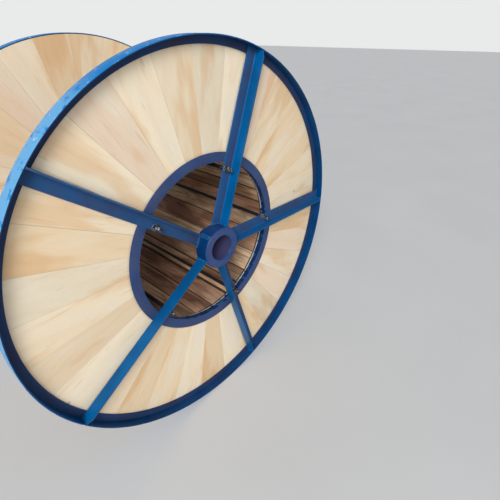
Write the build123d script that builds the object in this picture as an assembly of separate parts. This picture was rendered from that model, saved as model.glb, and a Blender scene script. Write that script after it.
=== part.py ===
"""Wooden cable drum with steel rims, spokes and hubs, standing on its two rims.

The drum is drawn with its axis along Z and the middle of the barrel at z = 0, so that a
flange is a flat stack of layers in +Z. It is then stood up: axis along Y, +Z up.
Sizes are in mm.
"""
import os
from math import atan2, cos, degrees, radians, sin, tan

from build123d import *

# Overall sizes
drum_d = 1600.0             # outer diameter over the rims
inner_w = 900.0             # winding width between the two wooden discs

# Flange layers, from the cable side outward
board_t = 15.0              # flange boards
steel_t = 5.0               # every rolled steel section
rim_recess = 38.0           # steel rim edge to the face of its inner leg
rim_leg_w = 32.0            # leg of the rim, measured from the outside of the rim
rim_w = board_t + steel_t + rim_recess

# Ring round the barrel opening
ring_leg_w = 40.0           # leg on the boards
ring_lip_w = 30.0           # lip that carries the staves
ring_bore_d = 700.0         # opening

# Flange boards, thirty wedges to a disc
boards_per_sector = 6
board_gap = 1.0             # open seam between two boards
board_clear = 0.5           # slack inside the rim and round the ring

# Spokes, rolled angle
spoke_count = 5
spoke_leg_w = 50.0          # both legs of the angle
spoke_heel = 18.0           # heel of the angle, sideways from the radius
spoke_root_r = 5.0
spoke_toe_r = 2.0
spoke_toe_cut = 25.0        # length of the cut corner where the spoke meets the rim
spoke_phase = 20.25         # lean of the first spoke from upright, clockwise
seam_shift = 1.75           # first board seam past the first spoke

# Hub, a thick sleeve in each flange
hub_d = 180.0
hub_bore_d = 108.0
hub_proud = 22.0            # past the rim edge
hub_chamfer = 3.0

# Barrel staves, the same five widths in each sector
stave_shares = (12.0, 15.0, 16.5, 16.5, 12.0)
stave_t = 22.0
stave_gaps = (11.0, 4.0, 5.0, 4.0, 5.0)     # open gap after each stave
stave_chamfer = 1.5
stave_shift = 59.75         # first stave edge past the first spoke

# Tie rods through the flat legs of the spokes
rod_d = 16.0
rod_inset = 26.0            # edge of the ring opening to the middle of a rod
rod_shift = 19.0            # sideways from the radius, away from the heel
rod_proud = 37.0            # past the face of the spoke
rod_hole_d = rod_d + 2.0
rod_chamfer = 1.5
nut_af = 24.0
nut_h = 13.0
nut_clear = 0.4

# Levels above the middle of the barrel
z_board = inner_w / 2
z_steel = z_board + board_t
z_spoke = z_steel + steel_t
z_face = z_spoke + steel_t
z_edge = z_board + rim_w
z_toe = z_spoke + spoke_leg_w
z_hub = z_edge + hub_proud
z_rod = z_face + rod_proud

drum_r = drum_d / 2
rim_bore_r = drum_r - steel_t
ring_bore_r = ring_bore_d / 2
rod_circle_r = ring_bore_r - rod_inset
lip_r = ring_bore_r + steel_t
sector = 360.0 / spoke_count
board_bore_r = lip_r + board_clear
board_r = rim_bore_r - board_clear

os.makedirs("parts", exist_ok=True)


def turned(points):
    """Turn an outline of (radius, height) points about the drum axis."""
    face = make_face(Polyline(*points, close=True))
    return revolve(Plane.XZ * face, Axis.Z, 360)


def clockwise(shape, angle):
    """Turn a shape about the drum axis, clockwise as seen from outside the front flange."""
    return Rot(0, 0, -angle) * shape


def make_rim():
    """Rim: a rolled wall with an inward leg that lies on the boards."""
    leg_r = drum_r - rim_leg_w
    return turned([
        (drum_r, z_board),
        (drum_r, z_edge),
        (rim_bore_r, z_edge),
        (rim_bore_r, z_spoke),
        (leg_r, z_spoke),
        (leg_r, z_steel),
        (rim_bore_r, z_steel),
        (rim_bore_r, z_board),
    ])


def make_ring():
    """Ring: a leg on the boards and a lip under the stave ends."""
    leg_r = ring_bore_r + ring_leg_w
    return turned([
        (ring_bore_r, z_spoke - ring_lip_w),
        (lip_r, z_spoke - ring_lip_w),
        (lip_r, z_steel),
        (leg_r, z_steel),
        (leg_r, z_spoke),
        (ring_bore_r, z_spoke),
    ])


def make_hub():
    """Hub sleeve, from the back of the spokes to just past the rim edge."""
    sleeve = Pos(0, 0, z_spoke) * extrude(Circle(hub_d / 2) - Circle(hub_bore_d / 2), z_hub - z_spoke)
    front = sleeve.edges().group_by(Axis.Z)[-1]
    return chamfer(front, hub_chamfer)


def rod_place(angle):
    """Middle of the tie rod hole of the spoke at this angle, as x and y."""
    a = radians(angle)
    along = (rod_circle_r ** 2 - rod_shift ** 2) ** 0.5
    return (along * sin(a) - rod_shift * cos(a), along * cos(a) + rod_shift * sin(a))


def make_spoke(angle):
    """Spoke: an angle with one leg flat over the ring and rim, the other leg standing out."""
    flat_x = spoke_heel - spoke_leg_w
    stand_x = spoke_heel - steel_t
    outline = Polyline(
        (spoke_heel, z_spoke),
        (spoke_heel, z_toe),
        (stand_x, z_toe),
        (stand_x, z_face),
        (flat_x, z_face),
        (flat_x, z_spoke),
        close=True,
    )
    face = make_face(outline)
    corners = face.vertices()
    root = corners.filter_by(lambda v: abs(v.X - stand_x) < 0.01 and abs(v.Y - z_face) < 0.01)
    face = fillet(root, spoke_root_r)
    toes = face.vertices().filter_by(
        lambda v: (abs(v.X - stand_x) < 0.01 and abs(v.Y - z_toe) < 0.01)
        or (abs(v.X - flat_x) < 0.01 and abs(v.Y - z_face) < 0.01)
    )
    face = fillet(toes, spoke_toe_r)
    bar = extrude(Plane.XZ * face, drum_r, dir=(0, 1, 0))
    inside_rim = Pos(0, 0, z_spoke) * extrude(Circle(rim_bore_r), spoke_leg_w)
    hub_room = Pos(0, 0, z_spoke) * extrude(Circle(hub_d / 2), spoke_leg_w)
    corner = make_face(Polyline(
        (drum_r, z_edge),
        (rim_bore_r, z_edge),
        (rim_bore_r - spoke_toe_cut, z_toe),
        (rim_bore_r - spoke_toe_cut, z_toe + steel_t),
        (drum_r, z_toe + steel_t),
        close=True,
    ))
    corner = extrude(Plane.YZ * corner, spoke_leg_w, both=True)
    x, y = rod_place(0.0)
    hole = Pos(x, y, z_spoke) * extrude(Circle(rod_hole_d / 2), steel_t)
    bar = (bar & inside_rim) - hub_room - corner - hole
    return clockwise(bar, angle)


def make_boards(first_angle):
    """Flange boards of one sector: wedges with open seams, clockwise from the first seam."""
    pitch = sector / boards_per_sector
    ring = Pos(0, 0, z_board) * extrude(Circle(board_r) - Circle(board_bore_r), board_t)
    boards = []
    for k in range(boards_per_sector):
        start = first_angle + k * pitch
        reach = drum_r / cos(radians(pitch / 2))
        a = radians(start)
        b = radians(start + pitch)
        wedge = make_face(Polyline(
            (0, 0),
            (reach * sin(a), reach * cos(a)),
            (reach * sin(b), reach * cos(b)),
            close=True,
        ))
        wedge = Pos(0, 0, z_board) * extrude(wedge, board_t)
        seam = Pos(0, drum_r / 2, z_board + board_t / 2) * Box(board_gap, drum_r, board_t)
        boards.append((ring & wedge) - clockwise(seam, start) - clockwise(seam, start + pitch))
    return boards


def make_staves(first_angle):
    """Barrel staves of one sector: flat boards of the five widths, side by side."""
    flat_r = lip_r + board_clear
    staves = []
    start = first_angle
    for k, share in enumerate(stave_shares):
        angle = share * sector / sum(stave_shares)
        before = stave_gaps[k - 1]
        after = stave_gaps[k]
        width = 2 * flat_r * tan(radians(angle / 2)) - (before + after) / 2
        middle = (before - after) / 4
        stave = Pos(middle, flat_r + stave_t / 2, 0) * Box(width, stave_t, inner_w)
        stave = chamfer(stave.edges().filter_by(Axis.Z), stave_chamfer)
        staves.append(clockwise(stave, start + angle / 2))
        start += angle
    return staves


def make_rod(angle):
    """Tie rod, from end to end of the drum."""
    x, y = rod_place(angle)
    rod = Pos(x, y, -z_rod) * extrude(Circle(rod_d / 2), 2 * z_rod)
    return chamfer(rod.edges(), rod_chamfer)


def make_nut(angle):
    """Hexagon nut on the face of the spoke."""
    x, y = rod_place(angle)
    flats = RegularPolygon(nut_af / 2, 6, major_radius=False)
    blank = extrude(flats - Circle((rod_d + nut_clear) / 2), nut_h)
    cone = Pos(0, 0, nut_h / 2) * Cylinder(nut_af / 2 / cos(radians(30)), nut_h)
    cone = chamfer(cone.edges(), 1.2)
    return Pos(x, y, z_face) * clockwise(blank & cone, angle)


def stood_up(shape):
    """Stand the drum on its rims: outside of the front flange to -Y, +Z up."""
    return Pos(0, 0, drum_r) * Rot(90, 0, 0) * shape


def turned_over(shape, rod_angle):
    """The back flange is a second front flange, turned over about a line to one tie rod."""
    a = radians(rod_angle)
    return shape.rotate(Axis((0, 0, 0), (sin(a), cos(a), 0)), 180)


def save(name, solids):
    """Write one node."""
    placed = [stood_up(s) for s in solids]
    shape = placed[0] if len(placed) == 1 else Compound(children=placed)
    export_step(shape, os.path.join("parts", name + ".step"))


rod_x, rod_y = rod_place(spoke_phase)
rod_angle = degrees(atan2(rod_x, rod_y))
sides = {"front": lambda s: s, "back": lambda s: turned_over(s, rod_angle)}

for side, place in sides.items():
    save(side + "_rim", [place(make_rim())])
    save(side + "_barrel_ring", [place(make_ring())])
    save(side + "_hub", [place(make_hub())])
    for k in range(spoke_count):
        angle = spoke_phase + k * sector
        number = str(k + 1)
        save(side + "_spoke_" + number, [place(make_spoke(angle))])
        save(side + "_rod_nut_" + number, [place(make_nut(angle))])
        boards = make_boards(angle + seam_shift)
        save(side + "_flange_boards_" + number, [place(b) for b in boards])

for k in range(spoke_count):
    angle = spoke_phase + k * sector
    number = str(k + 1)
    save("tie_rod_" + number, [make_rod(angle)])
    save("barrel_staves_" + number, make_staves(angle + stave_shift))
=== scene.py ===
"""Dressed model of a wooden cable drum with blue steel rims, standing on its two rims.

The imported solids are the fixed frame. Every piece here is drawn in the drum's own frame, with
its axis along +Z and the middle of the barrel at z = 0, and is then stood up into the shared
frame: axis along Y, +Z up, metres.
"""

import logging
import random
from dataclasses import dataclass, field
from enum import Enum
from math import cos, pi, radians, sin, sqrt, tan
from typing import Any, Iterable, Sequence

import bmesh
import bpy
from mathutils import Matrix, Vector


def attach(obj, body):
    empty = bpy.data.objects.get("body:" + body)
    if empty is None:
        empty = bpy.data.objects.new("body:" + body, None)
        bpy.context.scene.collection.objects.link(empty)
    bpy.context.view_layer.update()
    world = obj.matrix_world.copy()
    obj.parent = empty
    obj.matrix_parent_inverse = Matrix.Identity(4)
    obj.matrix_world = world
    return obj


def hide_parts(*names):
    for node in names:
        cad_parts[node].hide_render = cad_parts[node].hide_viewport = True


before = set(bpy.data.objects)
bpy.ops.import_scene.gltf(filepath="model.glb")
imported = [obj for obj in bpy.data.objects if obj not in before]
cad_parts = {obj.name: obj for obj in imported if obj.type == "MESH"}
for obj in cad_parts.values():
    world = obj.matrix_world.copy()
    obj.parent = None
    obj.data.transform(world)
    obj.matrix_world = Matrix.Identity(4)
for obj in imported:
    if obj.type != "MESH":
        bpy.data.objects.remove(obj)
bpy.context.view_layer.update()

log = logging.getLogger("cable_drum")
BODY = "root"
Point = tuple[float, float]
Triple = tuple[float, float, float]
Material = bpy.types.Material
Node = bpy.types.Node
Shape = bmesh.types.BMesh
Socket = bpy.types.NodeSocket
Tree = bpy.types.NodeTree
SMOOTH = {"interpolation_type": "SMOOTHSTEP"}


class Side(Enum):
    """The two flanges of the drum."""

    FRONT = "front"
    BACK = "back"


class BoardTone(Enum):
    """Shades in which sawn pine boards come, as sRGB hex values."""

    CREAM = "E8D8BC"
    PALE = "E4D4B8"
    BEIGE = "E0CEB0"
    GREY = "D8CAB0"
    ORANGE = "E0C8A4"
    TAN = "DCC6A6"
    PINK = "E0CAB0"
    HONEY = "DCC4A0"


class StaveTone(Enum):
    """Shades of the rougher barrel staves, as sRGB hex values."""

    STRAW = "E2BE98"
    OCHRE = "C8A078"
    BROWN = "9A785C"
    RED = "B98C6E"
    GREY = "8E7662"


def linear(hex_code: str) -> tuple[float, float, float, float]:
    """Turn an sRGB hex colour into linear values.

    Args:
        hex_code: Six hex digits.

    Returns:
        Linear red, green, blue and an alpha of 1.
    """
    parts = [int(hex_code[i:i + 2], 16) / 255 for i in (0, 2, 4)]
    line = [c / 12.92 if c <= 0.04045 else ((c + 0.055) / 1.055) ** 2.4 for c in parts]
    return (line[0], line[1], line[2], 1.0)


def add_node(
    tree: Tree, kind: str, inputs: dict[str | int, Any] | None = None, **settings: Any
) -> Node:
    """Add a node with its settings, constants and links.

    Args:
        tree: Node tree of the material.
        kind: Node class name without its "ShaderNode".
        inputs: Sockets by name or place, each with a constant, an output to link, or a node whose
            main output is linked. A Mix is one of colours: share at 0, colours at 6 and 7.
        settings: Values of the node's own properties.

    Returns:
        The new node.
    """
    node = tree.nodes.new("ShaderNode" + kind)
    if kind == "Mix":
        node.data_type = "RGBA"
    for name, value in settings.items():
        setattr(node, name, value)
    for key, value in (inputs or {}).items():
        if isinstance(value, Node):
            value = value.outputs[2 if value.bl_idname == "ShaderNodeMix" else 0]
        if isinstance(value, Socket):
            tree.links.new(value, node.inputs[key])
        else:
            node.inputs[key].default_value = value
    return node


def new_material(name: str) -> tuple[Material, Tree]:
    """Start an empty node material of this name."""
    material = bpy.data.materials.new(name)
    material.use_nodes = True
    material.node_tree.nodes.clear()
    return material, material.node_tree


def set_ramp(node: Node, stops: Sequence[tuple[float, float]]) -> None:
    """Give a colour ramp grey stops, each a position and a value."""
    elements = node.color_ramp.elements
    while len(elements) < len(stops):
        elements.new(1.0)
    for element, (place, value) in zip(elements, stops):
        element.position = place
        element.color = (value, value, value, 1.0)


def about_axis(tree: Tree, place: Socket) -> tuple[Socket, Node]:
    """Measure where a point lies on the drum.

    Args:
        tree: Node tree of the material.
        place: Object coordinates of the point.

    Returns:
        Its distance from the drum's axis, and along the axis from the middle of the barrel.
    """
    centred = add_node(
        tree, "VectorMath", {0: place, 1: (0.0, 0.0, DRUM.rim_r)}, operation="SUBTRACT")
    flat = add_node(tree, "VectorMath", {0: centred, 1: (1.0, 0.0, 1.0)}, operation="MULTIPLY")
    radius = add_node(tree, "VectorMath", {0: flat}, operation="LENGTH").outputs["Value"]
    apart = add_node(tree, "SeparateXYZ", {0: place})
    return radius, add_node(tree, "Math", {0: apart.outputs["Y"]}, operation="ABSOLUTE")


@dataclass(frozen=True)
class Band:
    """Zone of the painted steel with a colour of its own.

    It lies between two radii from the drum's axis and two distances from the barrel's middle.
    Noise leaves the missing share of it out. With a reach, it lies only that near a point.
    """

    colour: str
    radii: tuple[float, float]
    levels: tuple[float, float] = (0.0, 2.0)
    missing: float = 0.0
    around: Triple = (0.0, 0.0, 0.0)
    reach: float = 0.0


@dataclass(frozen=True)
class Enamel:
    """Brushed gloss enamel on hot-rolled mild steel.

    The steel's mill scale gives a slight wave and the brush gives an orange peel. A greyer,
    darker colour, partly workshop dust and partly painted sheen and shade, dulls the faces that
    look along the drum's axis, and a little those that look up. Thin chips show a dark brown
    primer.
    """

    name: str
    paint: str
    thin_paint: str
    bands: tuple[Band, ...] = ()
    dust_and_sheen: str = "5E5868"
    dust_and_sheen_share: float = 0.50
    dust_up: float = 0.35
    primer: str = "3B2A24"
    chip_share: float = 0.02
    gloss_roughness: float = 0.30
    dust_roughness: float = 0.75
    peel_mm: float = 6.0
    scuff_mm: float = 90.0
    coats_per_m: float = 7.0
    grit_per_m: float = 140.0
    rubs_per_m: float = 38.0
    shine: float = 0.22
    coat: float = 0.06

    def material(self) -> Material:
        """Build the enamel's nodes."""
        material, tree = new_material(self.name)
        place = add_node(tree, "TexCoord").outputs["Object"]
        patches, coats, peel, grit = (
            add_node(tree, "TexNoise",
                     {"Vector": place, "Scale": scale, "Detail": detail, "Roughness": rough})
            for scale, detail, rough in (
                (1000 / self.scuff_mm, 6.0, 0.62), (self.coats_per_m, 3.0, 0.5),
                (1000 / self.peel_mm, 2.0, 0.5), (self.grit_per_m, 4.0, 0.7)))
        thin = add_node(
            tree, "MapRange", {"Value": coats, "From Min": 0.42, "From Max": 0.68}, **SMOOTH)
        colour = add_node(tree, "Mix", {0: thin, 6: linear(self.paint), 7: linear(self.thin_paint)})
        # Faces that look along the axis, and a little those that look up, get a greyer, darker
        # colour: partly dust, partly painted sheen and shade.
        share = self.dust_and_sheen_cover(tree, patches)
        colour = add_node(tree, "Mix", {0: share, 6: colour, 7: linear(self.dust_and_sheen)})
        if self.bands:
            colour = self.banded(tree, place, colour)
        worn = add_node(tree, "Math", {0: patches, 1: grit}, operation="MULTIPLY")
        edge = 0.42 - 0.9 * self.chip_share
        chips = add_node(
            tree, "MapRange", {"Value": worn, "From Min": edge, "From Max": edge + 0.02}, **SMOOTH)
        colour = add_node(tree, "Mix", {0: chips, 6: colour, 7: linear(self.primer)})
        rough = add_node(
            tree, "MapRange", {"Value": share, "To Min": self.gloss_roughness,
            "To Max": self.dust_roughness})
        bump = add_node(tree, "Bump", {"Strength": 0.25, "Distance": 0.0006, "Height": peel})
        wave = add_node(
            tree, "Bump", {"Strength": 0.3, "Distance": 0.003, "Height": coats, "Normal": bump})
        shader = add_node(tree, "BsdfPrincipled", {
            "Base Color": colour, "Roughness": rough, "Normal": wave, "IOR": 1.5,
            "Specular IOR Level": self.shine, "Coat Weight": self.coat, "Coat Roughness": 0.12})
        add_node(tree, "OutputMaterial", {"Surface": shader})
        return material

    def dust_and_sheen_cover(self, tree: Tree, patches: Node) -> Node:
        """Share of the dust and painted sheen on a face, from the way it looks and from the
        patches' noise.
        """
        way = add_node(tree, "SeparateXYZ", {0: add_node(tree, "NewGeometry").outputs["Normal"]})
        upward = add_node(
            tree, "MapRange", {"Value": way.outputs["Z"], "From Min": 0.8, "From Max": 1.0,
            "To Max": self.dust_up})
        outward = add_node(tree, "Math", {0: way.outputs["Y"]}, operation="ABSOLUTE")
        outward = add_node(tree, "MapRange", {"Value": outward, "From Min": 0.5, "From Max": 1.0})
        lying = add_node(tree, "Math", {0: upward, 1: outward}, operation="MAXIMUM")
        settled = add_node(
            tree, "MapRange", {"Value": patches, "From Min": 0.34, "From Max": 0.74, "To Min": 0.45,
            "To Max": 1.0}, **SMOOTH)
        share = add_node(tree, "Math", {0: settled, 1: lying}, operation="MULTIPLY")
        return add_node(
            tree, "Math", {0: share, 1: self.dust_and_sheen_share}, operation="MULTIPLY", use_clamp=True)

    def banded(self, tree: Tree, place: Socket, colour: Node) -> Node:
        """Paint the bands over the other colours.

        Args:
            tree: Node tree of the material.
            place: Object coordinates.
            colour: Mix node that holds the colour of the other faces.

        Returns:
            The mix node with the bands on.
        """
        radius, level = about_axis(tree, place)
        rubs = add_node(
            tree, "TexNoise", {"Vector": place, "Scale": self.rubs_per_m, "Detail": 6.0,
            "Roughness": 0.7})
        for band in self.bands:
            share = add_node(tree, "MapRange", {
                "Value": rubs, "From Min": 0.26 + 0.5 * band.missing,
                "From Max": 0.32 + 0.5 * band.missing}, **SMOOTH)
            limits = [add_node(tree, "Math",
                               {0: value, 1: (low + high) / 2, 2: (high - low) / 2},
                               operation="COMPARE")
                      for value, (low, high) in ((radius, band.radii), (level, band.levels))]
            if band.reach:
                away = add_node(
                    tree, "VectorMath", {0: place, 1: band.around}, operation="DISTANCE")
                limits.append(add_node(tree, "MapRange", {
                    "Value": away.outputs["Value"], "From Min": band.reach,
                    "From Max": 0.7 * band.reach}, **SMOOTH))
            for limit in limits:
                share = add_node(tree, "Math", {0: share, 1: limit}, operation="MULTIPLY")
            colour = add_node(tree, "Mix", {0: share, 6: colour, 7: linear(band.colour)})
        return colour


@dataclass(frozen=True)
class Timber:
    """Sawn pine, cut flat through the log.

    Each board carries its own place in a log as the "grain" attribute, in metres, with the
    length of the log along Y, so the year rings run as long arches down its face. Real rings
    stand 2 to 4 mm apart, too fine to show here, so they are drawn up to ten times as coarse,
    as the broad figure of a flat-sawn face.
    """

    name: str
    ring_mm: float = 30.0
    late_wood: str = "D4AA80"
    late_share: float = 0.18
    streak: str = "D8B48C"
    streak_share: float = 0.06
    stain: str = "F2DCC4"
    stain_share: float = 0.70
    bleach: str = "DFD2BC"
    bleach_share: float = 0.60
    blotch: float = 0.9
    line: str = "B08660"
    line_share: float = 0.32
    line_from: float = 0.66
    fibre_low: float = 0.96
    knot: str = "9A6C46"
    knot_share: float = 0.035
    sway_per_m: Triple = (9.0, 2.4, 9.0)
    sway_w: float = 0.05
    streaks_per_m: Triple = (55.0, 1.3, 55.0)
    fibres_per_m: Triple = (420.0, 9.0, 420.0)
    lines_per_m: Triple = (120.0, 5.0, 120.0)
    knots_per_m: Triple = (7.0, 4.2, 0.0)
    saw_mm: float = 0.0
    roughness: float = 0.62
    # Painted shade in the corners along the steel legs: colour, width, strength and radii.
    corner_shade: str = "7C6A5A"
    corner_shade_w: float = 0.010
    corner_shade_share: float = 0.2
    corner_shade_rings: tuple[float, ...] = ()
    # Painted shadow of the ring's lip on the inside of the staves' ends: its colour, and the
    # distance from the barrel's middle where it starts.
    lip_shadow: str = "3A3428"
    lip_shadow_from: float = 0.0

    def material(self) -> Material:
        """Build the timber's nodes."""
        material, tree = new_material(self.name)
        grain = add_node(tree, "Attribute", attribute_name="grain").outputs["Vector"]
        tone = add_node(tree, "Attribute", attribute_name="tone").outputs["Color"]
        slow = add_node(tree, "VectorMath", {0: grain, 1: self.sway_per_m}, operation="MULTIPLY")
        sway = add_node(
            tree, "TexNoise", {"Vector": slow, "Scale": 1.0, "Detail": 2.0,
            "Roughness": 0.5}).outputs["Color"]
        sway = add_node(tree, "VectorMath", {0: sway, 1: (0.5, 0.5, 0.5)}, operation="SUBTRACT")
        sway = add_node(
            tree, "VectorMath", {0: sway, 1: (self.sway_w, 0.0, self.sway_w)}, operation="MULTIPLY")
        in_log = add_node(tree, "VectorMath", {0: grain, 1: sway}, operation="ADD")
        across = add_node(tree, "VectorMath", {0: in_log, 1: (1.0, 0.0, 1.0)}, operation="MULTIPLY")
        radius = add_node(tree, "VectorMath", {0: across}, operation="LENGTH").outputs["Value"]
        year = add_node(tree, "Math", {0: radius, 1: 1000 / self.ring_mm}, operation="MULTIPLY")
        year = add_node(tree, "Math", {0: year}, operation="FRACT")
        late = add_node(tree, "ValToRGB", {0: year})
        set_ramp(late, ((0.0, 0.35), (0.22, 0.0), (0.62, 0.25), (0.88, 1.0), (1.0, 0.35)))
        noises = []
        for at, stretch, detail, rough in (
            (in_log, self.streaks_per_m, 3.0, 0.55), (grain, self.fibres_per_m, 3.0, 0.6),
            (in_log, self.lines_per_m, 2.0, 0.5),
        ):
            at = add_node(tree, "VectorMath", {0: at, 1: stretch}, operation="MULTIPLY")
            noises.append(
                add_node(tree, "TexNoise", {"Vector": at, "Scale": 1.0, "Detail": detail,
                "Roughness": rough}))
        streaks, fibres, lines = noises
        broad = add_node(
            tree, "TexNoise", {"Vector": slow, "Scale": self.blotch, "Detail": 3.0,
            "Roughness": 0.5})
        amount = add_node(tree, "Math", {0: late, 1: self.late_share}, operation="MULTIPLY")
        colour = add_node(tree, "Mix", {0: amount, 6: tone, 7: linear(self.late_wood)})
        for noise, low, high, share, shade, blend in (
            (streaks, 0.45, 0.75, self.streak_share, self.streak, "MIX"),
            (broad, 0.50, 0.62, self.stain_share, self.stain, "MULTIPLY"),
            (broad, 0.46, 0.34, self.bleach_share, self.bleach, "MIX"),
            (lines, self.line_from, self.line_from + 0.10, self.line_share, self.line, "MIX"),
        ):
            amount = add_node(
                tree, "MapRange", {"Value": noise, "From Min": low, "From Max": high,
                "To Max": share}, **SMOOTH)
            colour = add_node(
                tree, "Mix", {0: amount, 6: colour, 7: linear(shade)}, blend_type=blend)
        amount = add_node(
            tree, "MapRange", {"Value": fibres, "From Min": 0.35, "From Max": 0.75, "To Min": 1.02,
            "To Max": self.fibre_low})
        colour = add_node(tree, "Mix", {0: 1.0, 6: colour, 7: amount}, blend_type="MULTIPLY")
        colour = self.knotted(tree, colour, in_log)
        colour = self.painted_shade(tree, colour, broad)
        height = add_node(tree, "Math", {0: fibres, 1: 0.6, 2: late}, operation="MULTIPLY_ADD")
        if self.saw_mm:
            # At scale 1 the bands repeat every 314 mm. They are drawn at twice the saw's pitch.
            saw = add_node(
                tree, "TexWave", {"Vector": grain, "Scale": 314.0 / self.saw_mm / 2,
                "Distortion": 1.5, "Detail": 2.0}, wave_type="BANDS",
                bands_direction="Y").outputs["Fac"]
            height = add_node(tree, "Math", {0: saw, 1: 0.8, 2: height}, operation="MULTIPLY_ADD")
        bump = add_node(tree, "Bump", {"Strength": 0.35, "Distance": 0.0006, "Height": height})
        rough = add_node(
            tree, "MapRange", {"Value": fibres, "To Min": self.roughness - 0.08,
            "To Max": self.roughness + 0.14})
        shader = add_node(tree, "BsdfPrincipled", {
            "Base Color": colour, "Roughness": rough, "Normal": bump, "IOR": 1.5,
            "Specular IOR Level": 0.35})
        add_node(tree, "OutputMaterial", {"Surface": shader})
        return material

    def knotted(self, tree: Tree, colour: Node, in_log: Node) -> Node:
        """Put a few small knots on the clean colour, by their place in the log."""
        at = add_node(tree, "VectorMath", {0: in_log, 1: self.knots_per_m}, operation="MULTIPLY")
        knots = add_node(
            tree, "TexVoronoi", {"Vector": at, "Scale": 1.0}, feature="F1", voronoi_dimensions="2D")
        rare = add_node(tree, "SeparateColor", {0: knots.outputs["Color"]})
        chosen = add_node(
            tree, "Math", {0: rare, 1: 1.0 - self.knot_share}, operation="GREATER_THAN")
        spot = add_node(tree, "MapRange", {
            "Value": knots.outputs["Distance"], "From Min": 0.02, "From Max": 0.06,
            "To Min": 0.55, "To Max": 0.0}, **SMOOTH)
        amount = add_node(tree, "Math", {0: spot, 1: chosen}, operation="MULTIPLY")
        return add_node(tree, "Mix", {0: amount, 6: colour, 7: linear(self.knot)})

    def painted_shade(self, tree: Tree, colour: Node, broad: Node) -> Node:
        """Paint shade into the corners along the steel on the boards, and the ring lip's shadow on
        the inside of the staves' ends.

        Args:
            tree: Node tree of the material.
            colour: Mix node that holds the clean colour.
            broad: Noise node that breaks the painted corner shade up.

        Returns:
            The mix node with the painted shade on.
        """
        radius, level = about_axis(tree, add_node(tree, "TexCoord").outputs["Object"])
        outside = add_node(
            tree, "Math", {0: level, 1: DRUM.z_board + DRUM.board_t / 2}, operation="GREATER_THAN")
        # Painted shade: the boards darken towards each steel leg, in the corner where they meet.
        for ring in self.corner_shade_rings:
            away = add_node(tree, "Math", {0: radius, 1: ring}, operation="SUBTRACT")
            away = add_node(tree, "Math", {0: away}, operation="ABSOLUTE")
            share = add_node(tree, "MapRange", {
                "Value": away, "From Min": 0.0, "From Max": self.corner_shade_w,
                "To Min": self.corner_shade_share, "To Max": 0.0}, interpolation_type="SMOOTHERSTEP")
            for limit in (broad, outside):
                share = add_node(tree, "Math", {0: share, 1: limit}, operation="MULTIPLY")
            colour = add_node(
                tree, "Mix", {0: share, 6: colour, 7: linear(self.corner_shade)}, blend_type="MULTIPLY")
        # Painted shadow of the ring's lip, on the staves just beyond the lip's end.
        if self.lip_shadow_from:
            inside = add_node(
                tree, "Math", {0: radius, 1: DRUM.ring_bore_r + 0.016}, operation="LESS_THAN")
            share = add_node(tree, "MapRange", {
                "Value": level, "From Min": self.lip_shadow_from - 0.003, "From Max": self.lip_shadow_from,
                "To Max": 0.9}, **SMOOTH)
            share = add_node(tree, "Math", {0: share, 1: inside}, operation="MULTIPLY")
            colour = add_node(tree, "Mix", {0: share, 6: colour, 7: linear(self.lip_shadow)})
        return colour


@dataclass(frozen=True)
class RodSteel:
    """Threaded bar and nuts under a thin dark paint, chipped bright by the spanner.

    The foot of each nut is rubbed bright, and flecks lie on the nut and along the thread.
    """

    name: str = "tie_rod_painted_steel"
    paint: str = "1E1D24"
    bright: str = "B4B6B8"
    foot_w: float = 0.0045
    flecks_per_m: float = 190.0

    def material(self) -> Material:
        """Build the bar's nodes."""
        material, tree = new_material(self.name)
        place = add_node(tree, "TexCoord").outputs["Object"]
        apart = add_node(tree, "SeparateXYZ", {0: place})
        level = add_node(tree, "Math", {0: apart.outputs["Y"]}, operation="ABSOLUTE")
        threads = add_node(tree, "Math", {0: level, 1: DRUM.z_face}, operation="GREATER_THAN")
        spots = add_node(
            tree, "TexNoise", {"Vector": place, "Scale": self.flecks_per_m, "Detail": 3.0,
            "Roughness": 0.6})
        flecks = add_node(
            tree, "MapRange", {"Value": spots, "From Min": 0.54, "From Max": 0.60, "To Max": 0.9},
            **SMOOTH)
        foot_top = DRUM.z_face + self.foot_w
        foot = add_node(tree, "MapRange", {
            "Value": level, "From Min": foot_top, "From Max": foot_top - 0.001,
            "To Max": 0.85}, **SMOOTH)
        rubbed = add_node(tree, "Math", {0: flecks, 1: foot}, operation="MAXIMUM")
        share = add_node(tree, "Math", {0: threads, 1: rubbed}, operation="MULTIPLY")
        colour = add_node(tree, "Mix", {0: share, 6: linear(self.paint), 7: linear(self.bright)})
        rough = add_node(tree, "MapRange", {"Value": spots, "To Min": 0.40, "To Max": 0.85})
        shader = add_node(tree, "BsdfPrincipled", {
            "Base Color": colour, "Roughness": rough, "Metallic": share,
            "Specular IOR Level": 0.25})
        add_node(tree, "OutputMaterial", {"Surface": shader})
        return material


@dataclass(frozen=True)
class StudioFloor:
    """Pale matt studio floor."""

    name: str = "studio_floor_pale"
    shade: str = "C9C8C5"
    clouds_per_m: float = 1.2

    def material(self) -> Material:
        """Build the floor's nodes."""
        material, tree = new_material(self.name)
        place = add_node(tree, "TexCoord").outputs["Object"]
        cloud = add_node(
            tree, "TexNoise", {"Vector": place, "Scale": self.clouds_per_m, "Detail": 4.0,
            "Roughness": 0.5})
        shade = add_node(tree, "MapRange", {"Value": cloud, "To Min": 0.94, "To Max": 1.06})
        colour = add_node(
            tree, "Mix", {0: 1.0, 6: linear(self.shade), 7: shade}, blend_type="MULTIPLY")
        shader = add_node(
            tree, "BsdfPrincipled", {"Base Color": colour, "Roughness": 0.85, "IOR": 1.5})
        add_node(tree, "OutputMaterial", {"Surface": shader})
        return material


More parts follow.
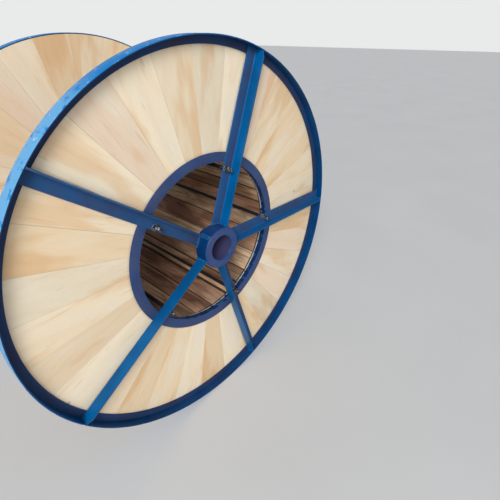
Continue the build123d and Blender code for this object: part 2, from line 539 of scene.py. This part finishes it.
@dataclass(frozen=True)
class DrumSizes:
    """Sizes and levels that several sub-assemblies share, in metres and degrees."""

    rim_r: float = 0.800
    inner_w: float = 0.900
    board_t: float = 0.015
    steel_t: float = 0.005
    rim_recess: float = 0.038
    rim_leg_w: float = 0.032
    ring_bore_r: float = 0.350
    ring_leg_w: float = 0.040
    ring_lip_w: float = 0.030
    hub_r: float = 0.090
    hub_bore_r: float = 0.054
    hub_proud: float = 0.022
    spoke_leg_w: float = 0.050
    spoke_heel: float = 0.018
    spoke_count: int = 5
    spoke_phase: float = 20.25
    rod_inset: float = 0.026
    rod_shift: float = 0.019
    rod_proud: float = 0.037

    @property
    def z_board(self) -> float:
        """Cable side of the flange boards."""
        return self.inner_w / 2

    @property
    def z_steel(self) -> float:
        """Outer face of the boards, under the rim's leg and the ring's leg."""
        return self.z_board + self.board_t

    @property
    def z_spoke(self) -> float:
        """Back of the spokes."""
        return self.z_steel + self.steel_t

    @property
    def z_face(self) -> float:
        """Face of the spokes' flat legs."""
        return self.z_spoke + self.steel_t

    @property
    def z_edge(self) -> float:
        """Edge of the rim wall."""
        return self.z_spoke + self.rim_recess

    @property
    def z_toe(self) -> float:
        """Toe of the spokes' standing legs."""
        return self.z_spoke + self.spoke_leg_w

    @property
    def z_hub(self) -> float:
        """Front of the hub sleeve."""
        return self.z_edge + self.hub_proud

    @property
    def z_rod(self) -> float:
        """End of the tie rods."""
        return self.z_face + self.rod_proud

    @property
    def z_lip(self) -> float:
        """Inner end of the ring's lip."""
        return self.z_spoke - self.ring_lip_w

    @property
    def rim_bore_r(self) -> float:
        """Inside of the rim wall."""
        return self.rim_r - self.steel_t

    def spoke_angle(self, number: int) -> float:
        """Lean of a spoke from upright, clockwise, for numbers from 1."""
        return self.spoke_phase + (number - 1) * 360 / self.spoke_count

    def rod_middle(self, angle: float) -> Point:
        """Middle of the tie rod of the spoke at this angle."""
        a = radians(angle)
        r = self.ring_bore_r - self.rod_inset
        along = sqrt(r ** 2 - self.rod_shift ** 2)
        return (along * sin(a) - self.rod_shift * cos(a), along * cos(a) + self.rod_shift * sin(a))

    def stand(self, side: Side) -> Matrix:
        """Matrix from the drum's own frame to the shared one, for a piece of this flange."""
        upright = Matrix.Translation((0, 0, self.rim_r)) @ Matrix.Rotation(pi / 2, 4, "X")
        if side is Side.FRONT:
            return upright
        x, y = self.rod_middle(self.spoke_phase)
        return upright @ Matrix.Rotation(pi, 4, Vector((x, y, 0)).normalized())


DRUM = DrumSizes()


def clockwise(angle: float) -> Matrix:
    """Turn about the drum's axis, clockwise as seen from outside the front flange."""
    return Matrix.Rotation(-radians(angle), 4, "Z")


def add_object(name: str, data: bpy.types.ID) -> bpy.types.Object:
    """Put a mesh, light or camera into the scene under this name."""
    item = bpy.data.objects.new(name, data)
    bpy.context.scene.collection.objects.link(item)
    return item


def timber_mesh() -> Shape:
    """Start an empty bmesh with the "grain" and "tone" attributes of timber."""
    shape = bmesh.new()
    shape.verts.layers.float_vector.new("grain")
    shape.verts.layers.float_color.new("tone")
    return shape


def round_off(shape: Shape, geom: list, radius: float, affect: str, segments: int) -> None:
    """Round vertices or edges off, as affect says."""
    bmesh.ops.bevel(
        shape, geom=geom, offset=radius, affect=affect, segments=segments, profile=0.5, material=-1,
        clamp_overlap=True)


def trim(shape: Shape, point: Sequence[float], normal: Vector) -> None:
    """Cut off all that lies beyond the plane through this point."""
    bmesh.ops.bisect_plane(
        shape, geom=shape.verts[:] + shape.edges[:] + shape.faces[:], plane_co=point,
        plane_no=normal, clear_outer=True)


def spin(shape: Shape, geom: list, angle: float, steps: int) -> None:
    """Sweep vertices and edges about the drum's axis. A full turn is closed."""
    whole = angle == 2 * pi
    bmesh.ops.spin(
        shape, geom=geom, cent=(0, 0, 0), axis=(0, 0, 1), dvec=(0, 0, 0), angle=angle, steps=steps,
        use_merge=whole)
    if whole:
        bmesh.ops.remove_doubles(shape, verts=shape.verts[:], dist=1e-6)


def gather(into: Shape, piece: Shape) -> None:
    """Add one bmesh to another with its attributes, and free it."""
    mesh = bpy.data.meshes.new("gather")
    piece.to_mesh(mesh)
    piece.free()
    into.from_mesh(mesh)
    bpy.data.meshes.remove(mesh)


def place_piece(
    name: str,
    shape: Shape,
    stand: Matrix,
    material: Material,
    nodes: Iterable[str] = (),
    smooth_deg: float = 32.0,
) -> bpy.types.Object:
    """Turn a finished bmesh into a piece of the drum.

    Args:
        name: Name of the piece.
        shape: Mesh in the drum's own frame, which is freed.
        stand: Matrix to the shared frame.
        material: Finish.
        nodes: Solids that the piece stands for.
        smooth_deg: Edges sharper than this stay hard.

    Returns:
        The object, at the origin, riding on the drum.
    """
    bmesh.ops.transform(shape, matrix=stand, verts=shape.verts[:])
    bmesh.ops.recalc_face_normals(shape, faces=shape.faces[:])
    mesh = bpy.data.meshes.new(name)
    shape.to_mesh(mesh)
    shape.free()
    mesh.shade_smooth()
    mesh.set_sharp_from_angle(angle=radians(smooth_deg))
    mesh.materials.append(material)
    piece = add_object(name, mesh)
    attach(piece, BODY)
    nodes = list(nodes)
    if nodes:
        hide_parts(*nodes)
    log.info("%s: %d faces", name, len(mesh.polygons))
    return piece


def turned(outline: Sequence[Point], rounding: float, steps: int) -> Shape:
    """Round the corners of an outline and turn it about the drum's axis.

    Args:
        outline: Corners as radius and height.
        rounding: Radius of the rounded corners.
        steps: Steps of the full turn.

    Returns:
        The closed ring.
    """
    shape = bmesh.new()
    corners = [shape.verts.new((r, 0.0, z)) for r, z in outline]
    shape.faces.new(corners)
    round_off(shape, corners, rounding, "VERTICES", 3)
    bmesh.ops.delete(shape, geom=shape.faces[:], context="FACES_ONLY")
    spin(shape, shape.verts[:] + shape.edges[:], 2 * pi, steps)
    return shape


@dataclass
class FlangeSteel:
    """Rim, ring and hub of one flange, turned shapes."""

    side: Side
    hub_chamfer: float = 0.003
    liner_r: float = 0.060
    liner_len: float = 0.040
    edge_round: float = 0.0012
    hub_round: float = 0.0008

    def place(self, node: str, ending: str, shape: Shape, material: Material) -> None:
        """Put a turned shape in the place of this side's node."""
        name = f"{self.side.value}_{node}"
        place_piece(
            f"{name}_{ending}", shape, DRUM.stand(self.side), material, [name])

    def rim(self, material: Material) -> None:
        """Rolled wall with an inward leg on the boards."""
        d = DRUM
        leg_r = d.rim_r - d.rim_leg_w
        shape = turned((
            (d.rim_r, d.z_board), (d.rim_r, d.z_edge), (d.rim_bore_r, d.z_edge),
            (d.rim_bore_r, d.z_spoke), (leg_r, d.z_spoke), (leg_r, d.z_steel),
            (d.rim_bore_r, d.z_steel), (d.rim_bore_r, d.z_board),
        ), self.edge_round, 288)
        self.place("rim", "rolled", shape, material)

    def ring(self, material: Material) -> None:
        """Rolled angle with a leg on the boards and a lip under the stave ends."""
        d = DRUM
        leg_r = d.ring_bore_r + d.ring_leg_w
        lip_r = d.ring_bore_r + d.steel_t
        shape = turned((
            (d.ring_bore_r, d.z_lip), (lip_r, d.z_lip),
            (lip_r, d.z_steel), (leg_r, d.z_steel), (leg_r, d.z_spoke), (d.ring_bore_r, d.z_spoke),
        ), self.edge_round, 192)
        self.place("barrel_ring", "rolled", shape, material)

    def hub(self, material: Material) -> None:
        """Thick sleeve with a chamfered front, whose thin liner goes on behind the spokes."""
        d = DRUM
        c = self.hub_chamfer
        back = d.z_spoke - self.liner_len
        shape = turned((
            (d.hub_bore_r, back), (self.liner_r, back), (self.liner_r, d.z_spoke),
            (d.hub_r, d.z_spoke), (d.hub_r, d.z_hub - c),
            (d.hub_r - c, d.z_hub), (d.hub_bore_r + c, d.z_hub), (d.hub_bore_r, d.z_hub - c),
        ), self.hub_round, 96)
        self.place("hub", "sleeve", shape, material)


@dataclass
class Spokes:
    """The five angle spokes of one flange."""

    side: Side
    root_r: float = 0.005
    toe_r: float = 0.002
    edge_r: float = 0.0010
    toe_cut: float = 0.025

    def bar(self) -> Shape:
        """One spoke, pointing along +Y: an angle fitted to the hub and the rim."""
        d = DRUM
        heel = d.spoke_heel
        stand = heel - d.steel_t
        flat = heel - d.spoke_leg_w
        outline = ((heel, d.z_spoke), (heel, d.z_toe), (stand, d.z_toe), (stand, d.z_face),
                   (flat, d.z_face), (flat, d.z_spoke))
        rounds = (self.edge_r, self.edge_r, self.toe_r, self.root_r, self.toe_r, self.edge_r)
        shape = bmesh.new()
        corners = [shape.verts.new((x, 0.0, z)) for x, z in outline]
        shape.faces.new(corners)
        for corner, r in zip(corners, rounds):
            round_off(shape, [corner], r, "VERTICES", 4)
        start = shape.faces[:]
        grown = bmesh.ops.extrude_face_region(shape, geom=start, use_keep_orig=True)["geom"]
        far = {v for v in grown if isinstance(v, bmesh.types.BMVert)}
        for vert in shape.verts:
            reach = d.rim_bore_r if vert in far else d.hub_r
            vert.co.y = sqrt(reach ** 2 - vert.co.x ** 2)
        cut_rise = d.z_toe - d.z_edge
        trim(shape, (0, d.rim_bore_r, d.z_edge), Vector((0, cut_rise, self.toe_cut)).normalized())
        open_edges = [e for e in shape.edges if e.is_boundary]
        bmesh.ops.holes_fill(shape, edges=open_edges, sides=0)
        return shape

    def build(self, material: Material) -> None:
        """Place the five spokes."""
        for number in range(1, DRUM.spoke_count + 1):
            shape = self.bar()
            node = f"{self.side.value}_spoke_{number}"
            stand = DRUM.stand(self.side) @ clockwise(DRUM.spoke_angle(number))
            place_piece(node + "_angle", shape, stand, material, [node])


@dataclass
class WeldRuns:
    """Hand-laid weld beads where the spokes meet the hub, the ring and the rim."""

    side: Side
    bead_r: float = 0.0036
    hub_bead_r: float = 0.0072
    pitch: float = 0.0040
    tack_w: float = 0.016
    tack_in: float = 0.006
    stray: float = 0.32
    sizes: Point = (0.82, 1.15)
    flat: float = 0.85
    tack_share: float = 0.8
    rng: random.Random = field(default_factory=lambda: random.Random(7))

    def lay(self, shape: Shape, turn: Matrix, start: Vector, end: Vector,
            bead_r: float, round_r: float = 0.0) -> None:
        """Lay one run as overlapping coins of weld metal.

        Args:
            shape: Mesh that gathers the coins.
            turn: Turn of the spoke.
            start: First point, in the frame of a spoke along +Y.
            end: Last point.
            bead_r: Half the width of the bead.
            round_r: Radius about the drum's axis that the run follows, or 0 for a straight run.
        """
        count = max(2, round((end - start).length / self.pitch))
        for k in range(count + 1):
            at = start.lerp(end, k / count)
            if round_r:
                at.y = sqrt(round_r ** 2 - at.x ** 2)
            stray = bead_r * self.stray
            at += Vector([self.rng.uniform(-stray, stray) for _ in range(3)])
            size = bead_r * self.rng.uniform(*self.sizes)
            tilt = Matrix.Rotation(self.rng.uniform(0, pi), 4, "Z")
            coin = Matrix.Diagonal((size, size, size * self.flat, 1.0))
            bmesh.ops.create_icosphere(
                shape, subdivisions=2, radius=1.0,
                matrix=turn @ Matrix.Translation(at) @ tilt @ coin)

    def build(self, material: Material) -> None:
        """Lay the runs of all five spokes as one piece."""
        d = DRUM
        shape = bmesh.new()
        heel, stand, flat = d.spoke_heel, d.spoke_heel - d.steel_t, d.spoke_heel - d.spoke_leg_w
        hub_y = sqrt(d.hub_r ** 2 - heel ** 2)
        rim_y = sqrt(d.rim_bore_r ** 2 - heel ** 2)
        for number in range(1, d.spoke_count + 1):
            turn = clockwise(d.spoke_angle(number))
            for bead_r, round_r in ((self.hub_bead_r, d.hub_r), (self.bead_r, d.rim_bore_r)):
                self.lay(shape, turn, Vector((flat, 0, d.z_face)),
                         Vector((stand, 0, d.z_face)), bead_r, round_r)
            for x in (heel, stand):
                self.lay(shape, turn, Vector((x, hub_y, d.z_spoke)), Vector((x, hub_y, d.z_toe)),
                         self.hub_bead_r)
                self.lay(shape, turn, Vector((x, rim_y, d.z_spoke)),
                         Vector((x, rim_y, d.z_edge - self.bead_r)), self.bead_r)
            for x in (heel, flat):
                ring_y = d.ring_bore_r + self.tack_in
                self.lay(shape, turn, Vector((x, ring_y, d.z_spoke)),
                         Vector((x, ring_y + self.tack_w, d.z_spoke)),
                         self.bead_r * self.tack_share)
        name = self.side.value + "_weld_runs"
        place_piece(name, shape, d.stand(self.side), material, smooth_deg=80.0)


@dataclass
class FlangeBoards:
    """The wedge boards of one flange, six to a sector."""

    side: Side
    per_sector: int = 6
    seam_shift: float = 1.75
    gap: float = 0.0005
    clear: float = 0.0005
    edge_r: float = 0.0005
    spare_deg: float = 2.0
    uneven: float = 0.0006
    arc_steps: int = 10
    corner_deg: float = 60.0
    seed: int = 3

    def tones(self) -> list[BoardTone]:
        """Draw the boards' tones, clockwise. No board has the tone of the one before it."""
        rng = random.Random(f"{self.side.value} tones {self.seed}")
        drawn: list[BoardTone] = []
        for _ in range(DRUM.spoke_count * self.per_sector):
            drawn.append(rng.choice([tone for tone in BoardTone if drawn[-1:] != [tone]]))
        return drawn

    def board(self, pitch: float, tone: BoardTone, rng: random.Random) -> Shape:
        """One wedge, with its middle along +Y.

        Args:
            pitch: Angle of the wedge.
            tone: Shade of this board.
            rng: Seeded source of its cut from the log.

        Returns:
            The board with its "grain" and "tone" attributes.
        """
        d = DRUM
        inner = d.ring_bore_r + d.steel_t + self.clear
        outer = d.rim_bore_r - self.clear
        a = radians(pitch / 2 + self.spare_deg)
        shape = bmesh.new()
        ends = [shape.verts.new((r * sin(a), r * cos(a), d.z_board)) for r in (inner, outer)]
        edge = shape.edges.new(ends)
        spin(shape, ends + [edge], 2 * a, self.arc_steps)
        for way in (-1, 1):
            b = radians(pitch / 2)
            normal = Vector((way * cos(b), -sin(b), 0))
            trim(shape, -normal * self.gap / 2, normal)
        thick = d.board_t - rng.uniform(0.0, self.uneven)
        grown = bmesh.ops.extrude_face_region(
            shape, geom=shape.faces[:], use_keep_orig=True)["geom"]
        top = [v for v in grown if isinstance(v, bmesh.types.BMVert)]
        bmesh.ops.translate(shape, vec=(0, 0, thick), verts=top)
        bmesh.ops.recalc_face_normals(shape, faces=shape.faces[:])
        sharp = [e for e in shape.edges if e.calc_face_angle(0.0) > radians(self.corner_deg)]
        round_off(shape, sharp, self.edge_r, "EDGES", 1)
        self.mark_grain(shape, tone, rng)
        return shape

    def mark_grain(self, shape: Shape, tone: BoardTone, rng: random.Random) -> None:
        """Write the board's place in its log and its tone into the mesh."""
        grain = shape.verts.layers.float_vector.new("grain")
        shade = shape.verts.layers.float_color.new("tone")
        off_pith = rng.uniform(0.035, 0.09)
        aside = rng.uniform(-0.05, 0.05)
        rise = rng.uniform(0.03, 0.09) * rng.choice((-1, 1))
        slant = rng.uniform(-0.05, 0.05)
        start = rng.uniform(0.0, 60.0)
        light = rng.uniform(0.96, 1.04)
        colour = [c * light for c in linear(tone.value)[:3]] + [1.0]
        middle = (DRUM.ring_bore_r + DRUM.rim_r) / 2
        for vert in shape.verts:
            x, y, z = vert.co
            along = y - middle
            vert[grain] = Vector(
                (x + aside + slant * along, y + start, z - DRUM.z_board + off_pith + rise * along))
            vert[shade] = colour

    def build(self, material: Material) -> None:
        """Place the boards, one piece to a sector."""
        rng = random.Random(self.seed)
        pitch = 360 / DRUM.spoke_count / self.per_sector
        tones = self.tones()
        for number in range(1, DRUM.spoke_count + 1):
            first = (number - 1) * self.per_sector
            sector = timber_mesh()
            for k, tone in enumerate(tones[first:first + self.per_sector]):
                board = self.board(pitch, tone, rng)
                turn = clockwise(DRUM.spoke_angle(number) + self.seam_shift + (k + 0.5) * pitch)
                bmesh.ops.transform(board, matrix=turn, verts=board.verts[:])
                gather(sector, board)
            node = f"{self.side.value}_flange_boards_{number}"
            place_piece(
                node + "_sawn", sector, DRUM.stand(self.side), material, [node])


@dataclass
class BarrelStaves:
    """The staves of the barrel, five to a sector, with open gaps between them."""

    shares: tuple[float, ...] = (12.0, 15.0, 16.5, 16.5, 12.0)
    gaps: tuple[float, ...] = (0.011, 0.004, 0.005, 0.004, 0.005)
    thick: float = 0.022
    shift: float = 59.75
    edge_r: float = 0.0015
    clear: float = 0.0005
    waver: float = 0.0004
    waver_cuts: int = 15
    slit: float = 0.0012
    # Painted shade in the gaps: the staves' sides take their tone times this.
    gap_shade: float = 0.12
    seed: int = 11

    def long_edges(self, shape: Shape) -> list[bmesh.types.BMEdge]:
        """Edges that run the length of a stave."""
        return [e for e in shape.edges
                if abs(e.verts[0].co.z - e.verts[1].co.z) > DRUM.inner_w / 2]

    def stave(self, width: float, flare: float, flat_r: float, tone: StaveTone,
              rng: random.Random) -> Shape:
        """One stave, with its middle over +Y and its length along the drum's axis.

        Args:
            width: Width of the stave on its inner face.
            flare: How much wider its outer face is, planed to close the gap there.
            flat_r: Distance of its inner face from the axis.
            tone: Shade of this stave.
            rng: Seeded source of its cut and its rough edges.

        Returns:
            The stave with its "grain" and "tone" attributes.
        """
        d = DRUM
        shape = bmesh.new()
        bmesh.ops.create_cube(
            shape, size=1.0, matrix=Matrix.Diagonal((width, self.thick, d.inner_w, 1.0)))
        for vert in shape.verts:
            if vert.co.y > 0:
                vert.co.x *= 1 + flare / width
        round_off(shape, self.long_edges(shape), self.edge_r, "EDGES", 2)
        bmesh.ops.subdivide_edges(
            shape, edges=self.long_edges(shape), cuts=self.waver_cuts, use_grid_fill=True)
        wave = {}
        for vert in shape.verts:
            level = round(vert.co.z, 4)
            side = vert.co.x > 0
            if (level, side) not in wave:
                wave[(level, side)] = rng.uniform(-self.waver, self.waver)
            vert.co.x += wave[(level, side)]
        grain = shape.verts.layers.float_vector.new("grain")
        shade = shape.verts.layers.float_color.new("tone")
        off_pith = rng.uniform(0.02, 0.07)
        aside = rng.uniform(-0.04, 0.04)
        rise = rng.uniform(0.02, 0.06) * rng.choice((-1, 1))
        start = rng.uniform(0.0, 60.0)
        light = rng.uniform(0.85, 1.1)
        colour = [c * light for c in linear(tone.value)[:3]] + [1.0]
        # The sides between the inner and outer faces, which face the gaps, take a much darker tone:
        # painted shade.
        gap_shaded = [c * self.gap_shade for c in colour[:3]] + [1.0]
        for vert in shape.verts:
            x, y, z = vert.co
            vert[grain] = Vector((x + aside, z + start, y + off_pith + rise * z))
            vert[shade] = gap_shaded if abs(y) < self.thick / 2 - 1e-5 else colour
        bmesh.ops.translate(shape, vec=(0, flat_r + self.thick / 2, 0), verts=shape.verts[:])
        return shape

    def build(self, material: Material) -> None:
        """Place the staves, one piece to a sector."""
        rng = random.Random(self.seed)
        sector = 360 / DRUM.spoke_count
        flat_r = DRUM.ring_bore_r + DRUM.steel_t + self.clear
        tones = list(StaveTone)
        for number in range(1, DRUM.spoke_count + 1):
            group = timber_mesh()
            start = DRUM.spoke_angle(number) + self.shift
            for k, share in enumerate(self.shares):
                angle = share * sector / sum(self.shares)
                before, after = self.gaps[k - 1], self.gaps[k]
                width = 2 * flat_r * tan(radians(angle / 2)) - (before + after) / 2
                flare = (
                    (before + after) / 2 + 2 * self.thick * tan(radians(angle / 2)) - self.slit)
                stave = self.stave(width, flare, flat_r, rng.choice(tones), rng)
                bmesh.ops.translate(stave, vec=((before - after) / 4, 0, 0), verts=stave.verts[:])
                bmesh.ops.transform(
                    stave, matrix=clockwise(start + angle / 2), verts=stave.verts[:])
                gather(group, stave)
                start += angle
            node = f"barrel_staves_{number}"
            place_piece(
                node + "_sawn", group, DRUM.stand(Side.FRONT), material, [node])


@dataclass
class TieRods:
    """Five rods with threaded ends, from flange to flange, and their nuts."""

    rod_r: float = 0.008
    thread_pitch: float = 0.002
    thread_depth: float = 0.0009
    thread_len: float = 0.060
    tip: float = 0.0015
    turn_steps: int = 20

    def rod(self) -> Shape:
        """One rod along the drum's axis. Rings stand for the fine helix of the thread."""
        d = DRUM
        half = [(0.0, d.z_rod), (self.rod_r - self.tip, d.z_rod)]
        level = d.z_rod - self.tip
        while level > d.z_rod - self.thread_len:
            half.append((self.rod_r, level))
            half.append((self.rod_r - self.thread_depth, level - self.thread_pitch / 2))
            level -= self.thread_pitch
        half.append((self.rod_r, level))
        outline = half + [(r, -z) for r, z in reversed(half)]
        shape = bmesh.new()
        verts = [shape.verts.new((r, 0, z)) for r, z in outline]
        edges = [shape.edges.new(pair) for pair in zip(verts, verts[1:])]
        spin(shape, verts + edges, 2 * pi, self.turn_steps)
        return shape

    def build(self, material: Material) -> None:
        """Place the rods and dress the nuts."""
        for number in range(1, DRUM.spoke_count + 1):
            shape = self.rod()
            x, y = DRUM.rod_middle(DRUM.spoke_angle(number))
            stand = DRUM.stand(Side.FRONT) @ Matrix.Translation((x, y, 0))
            node = f"tie_rod_{number}"
            place_piece(node + "_threaded", shape, stand, material, [node])
            for side in Side:
                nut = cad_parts[f"{side.value}_rod_nut_{number}"]
                nut.data.materials.clear()
                nut.data.materials.append(material)


@dataclass
class Studio:
    """Pale floor, soft light and the camera at the photograph's viewing angle.

    The camera's sizes are in the photograph's own 500 by 500 frame.
    """

    frame_px: float = 500.0
    focal_px: float = 370.8
    middle_px: Point = (264.0, 223.9)
    camera_at: Triple = (-0.901, -1.526, 1.603)
    turn_deg: float = 49.6
    dip_deg: float = 27.4
    sensor_mm: float = 36.0
    key_from: Triple = (-0.63, -0.53, 0.567)
    key_strength: float = 2.45
    key_spread_deg: float = 24.0
    box_at: Triple = (-2.3, -2.4, 2.6)
    box_aim: Triple = (-0.5, -0.5, 0.9)
    box_w: float = 1.6
    box_watts: float = 26.0

    def camera(self) -> None:
        """Set the camera."""
        data = bpy.data.cameras.new("studio_camera")
        data.sensor_fit = "HORIZONTAL"
        data.sensor_width = self.sensor_mm
        data.lens = self.focal_px / self.frame_px * self.sensor_mm
        data.shift_x = (self.frame_px / 2 - self.middle_px[0]) / self.frame_px
        data.shift_y = (self.middle_px[1] - self.frame_px / 2) / self.frame_px
        camera = add_object("studio_camera", data)
        turn, dip = radians(self.turn_deg), radians(self.dip_deg)
        ahead = Vector((sin(turn) * cos(dip), cos(turn) * cos(dip), -sin(dip)))
        camera.location = self.camera_at
        camera.rotation_euler = ahead.to_track_quat("-Z", "Y").to_euler()
        bpy.context.scene.camera = camera

    def lamp(
        self, name: str, kind: str, strength: float, shade: str, aim: Vector
    ) -> bpy.types.Object:
        """Hang a light of this kind, strength and shade that shines along aim."""
        data = bpy.data.lights.new(name, kind)
        data.energy = strength
        data.color = linear(shade)[:3]
        light = add_object(name, data)
        light.rotation_euler = aim.to_track_quat("-Z", "Y").to_euler()
        return light

    def sun(self) -> None:
        """Shine broad soft light on the drum from the left and the front."""
        light = self.lamp("soft_key", "SUN", self.key_strength, "F6F9FF", -Vector(self.key_from))
        light.data.angle = radians(self.key_spread_deg)

    def near_box(self) -> None:
        """Hang a soft box to the left of the camera, which lights the drum's near side most."""
        aim = Vector(self.box_aim) - Vector(self.box_at)
        light = self.lamp("near_box", "AREA", self.box_watts, "FFFFFF", aim)
        light.location = self.box_at
        light.data.size = self.box_w

    def air(self) -> None:
        """Surround the stage with pale air that is lightest along the horizon."""
        world = bpy.data.worlds.new("studio_air")
        world.use_nodes = True
        tree = world.node_tree
        tree.nodes.clear()
        way = add_node(tree, "TexCoord").outputs["Generated"]
        apart = add_node(tree, "SeparateXYZ", {0: way})
        high = add_node(
            tree, "MapRange", {"Value": apart.outputs["Z"], "From Min": 0.15, "From Max": 0.55},
            **SMOOTH)
        shade = add_node(tree, "Mix", {0: high, 6: linear("E9EAEA"), 7: linear("A4A8AE")})
        air = add_node(tree, "Background", {"Color": shade, "Strength": 1.0})
        add_node(tree, "OutputWorld", {"Surface": air})
        bpy.context.scene.world = world

    def build(self) -> None:
        """Set up the floor, the lights and the camera."""
        shape = bmesh.new()
        bmesh.ops.create_grid(shape, x_segments=1, y_segments=1, size=40.0)
        mesh = bpy.data.meshes.new("studio_floor")
        shape.to_mesh(mesh)
        shape.free()
        mesh.materials.append(StudioFloor().material())
        floor = add_object("studio_floor", mesh)
        self.air()
        self.sun()
        self.near_box()
        self.camera()
        bpy.context.scene.view_settings.view_transform = "Standard"


def main() -> None:
    """Build the drum's sub-assemblies in order, then the studio."""
    logging.basicConfig(level=logging.INFO, format="%(name)s %(message)s")
    d = DRUM
    tread = (d.rim_r - 0.0018, d.rim_r + 0.01)
    patch_at, patch_reach = (-0.736, -0.48, 1.113), 0.55
    # The rim's tread is banded a brighter blue than the rest of the rim: a painted highlight of the
    # lit tread. Lighter flecks, a paler patch near the upper left and near-white scuffs lie over
    # it. The faces that look along the axis take the dark colour at a high share: partly dust,
    # partly painted shade of the recessed leg.
    rim_paint = Enamel(
        "rim_enamel", "003C6C", "00325C", dust_and_sheen="363448", dust_and_sheen_share=0.85, chip_share=0.03,
        shine=0.08, coat=0.0, bands=(Band("0072B4", tread), Band("3E8CC4", tread, missing=0.62),
        Band("5C9CC8", tread, missing=0.25, around=patch_at, reach=patch_reach), Band("BCD8EA",
        tread, missing=0.74))).material()
    # The ring's bore is banded a darker blue: painted shade inside the bore. Lighter worn patches
    # lie on the lip.
    bore = (d.ring_bore_r - 0.001, d.ring_bore_r + 0.0018)
    # A broken near-white line runs at the foot of the lip's end: partly bare steel, partly a
    # painted highlight on the edge.
    lip_foot = (bore[0], bore[1] + 0.005)
    ring_paint = Enamel(
        "ring_enamel", "053A72", "043062", dust_and_sheen="454A62", dust_and_sheen_share=0.72, bands=(Band("142C52",
        bore, (0.0, d.z_spoke - 0.002)), Band("35557E", bore, (d.z_lip, d.z_spoke), 0.52),
        Band("DCDED8", lip_foot, (0.0, d.z_lip + 0.0045), 0.30)) ).material()
    spoke_paint = Enamel(
        "spoke_enamel", "00578E", "004C7C", dust_and_sheen="3A384E", dust_and_sheen_share=0.82, shine=0.12, coat=0.02,
        gloss_roughness=0.34).material()
    # The hub's bore is banded a dark violet grey: painted shade inside the bore.
    hub_paint = Enamel(
        "hub_enamel", "02386A", "02305C", dust_and_sheen="48507E", dust_and_sheen_share=0.60, bands=(Band("3E3C5C",
        (0.0, d.hub_bore_r + 0.0015), (0.0, d.z_hub - 0.004)),)).material()
    beside_ring = d.ring_bore_r + d.ring_leg_w + 0.002
    beside_rim = d.rim_r - d.rim_leg_w - 0.002
    # Beside the ring's and rim's legs the boards are darkened, broken by noise: painted shade in
    # the corners.
    board_wood = Timber("flange_pine_sawn", corner_shade_rings=(beside_ring, beside_rim)).material()
    # Just beyond the end of the ring's lip the staves' inner faces are darkened: a painted shadow
    # of the lip.
    stave_wood = Timber(
        "stave_pine_rough", ring_mm=14.0, late_wood="6A4A36", late_share=0.30, streak="4A3022",
        streak_share=0.55, stain="8A6850", stain_share=0.65, bleach="C8A888", bleach_share=0.40,
        line="2A1A12", line_share=0.75, line_from=0.62, fibre_low=0.72, knot="3A2418",
        knot_share=0.15, saw_mm=5.0, roughness=0.75, lip_shadow_from=d.z_lip - 0.011).material()
    rod_steel = RodSteel().material()
    for side in Side:
        steel = FlangeSteel(side)
        steel.rim(rim_paint)
        steel.ring(ring_paint)
        steel.hub(hub_paint)
        Spokes(side).build(spoke_paint)
        WeldRuns(side).build(spoke_paint)
        FlangeBoards(side).build(board_wood)
    BarrelStaves().build(stave_wood)
    TieRods().build(rod_steel)
    Studio().build()


if __name__ == "__main__":
    main()
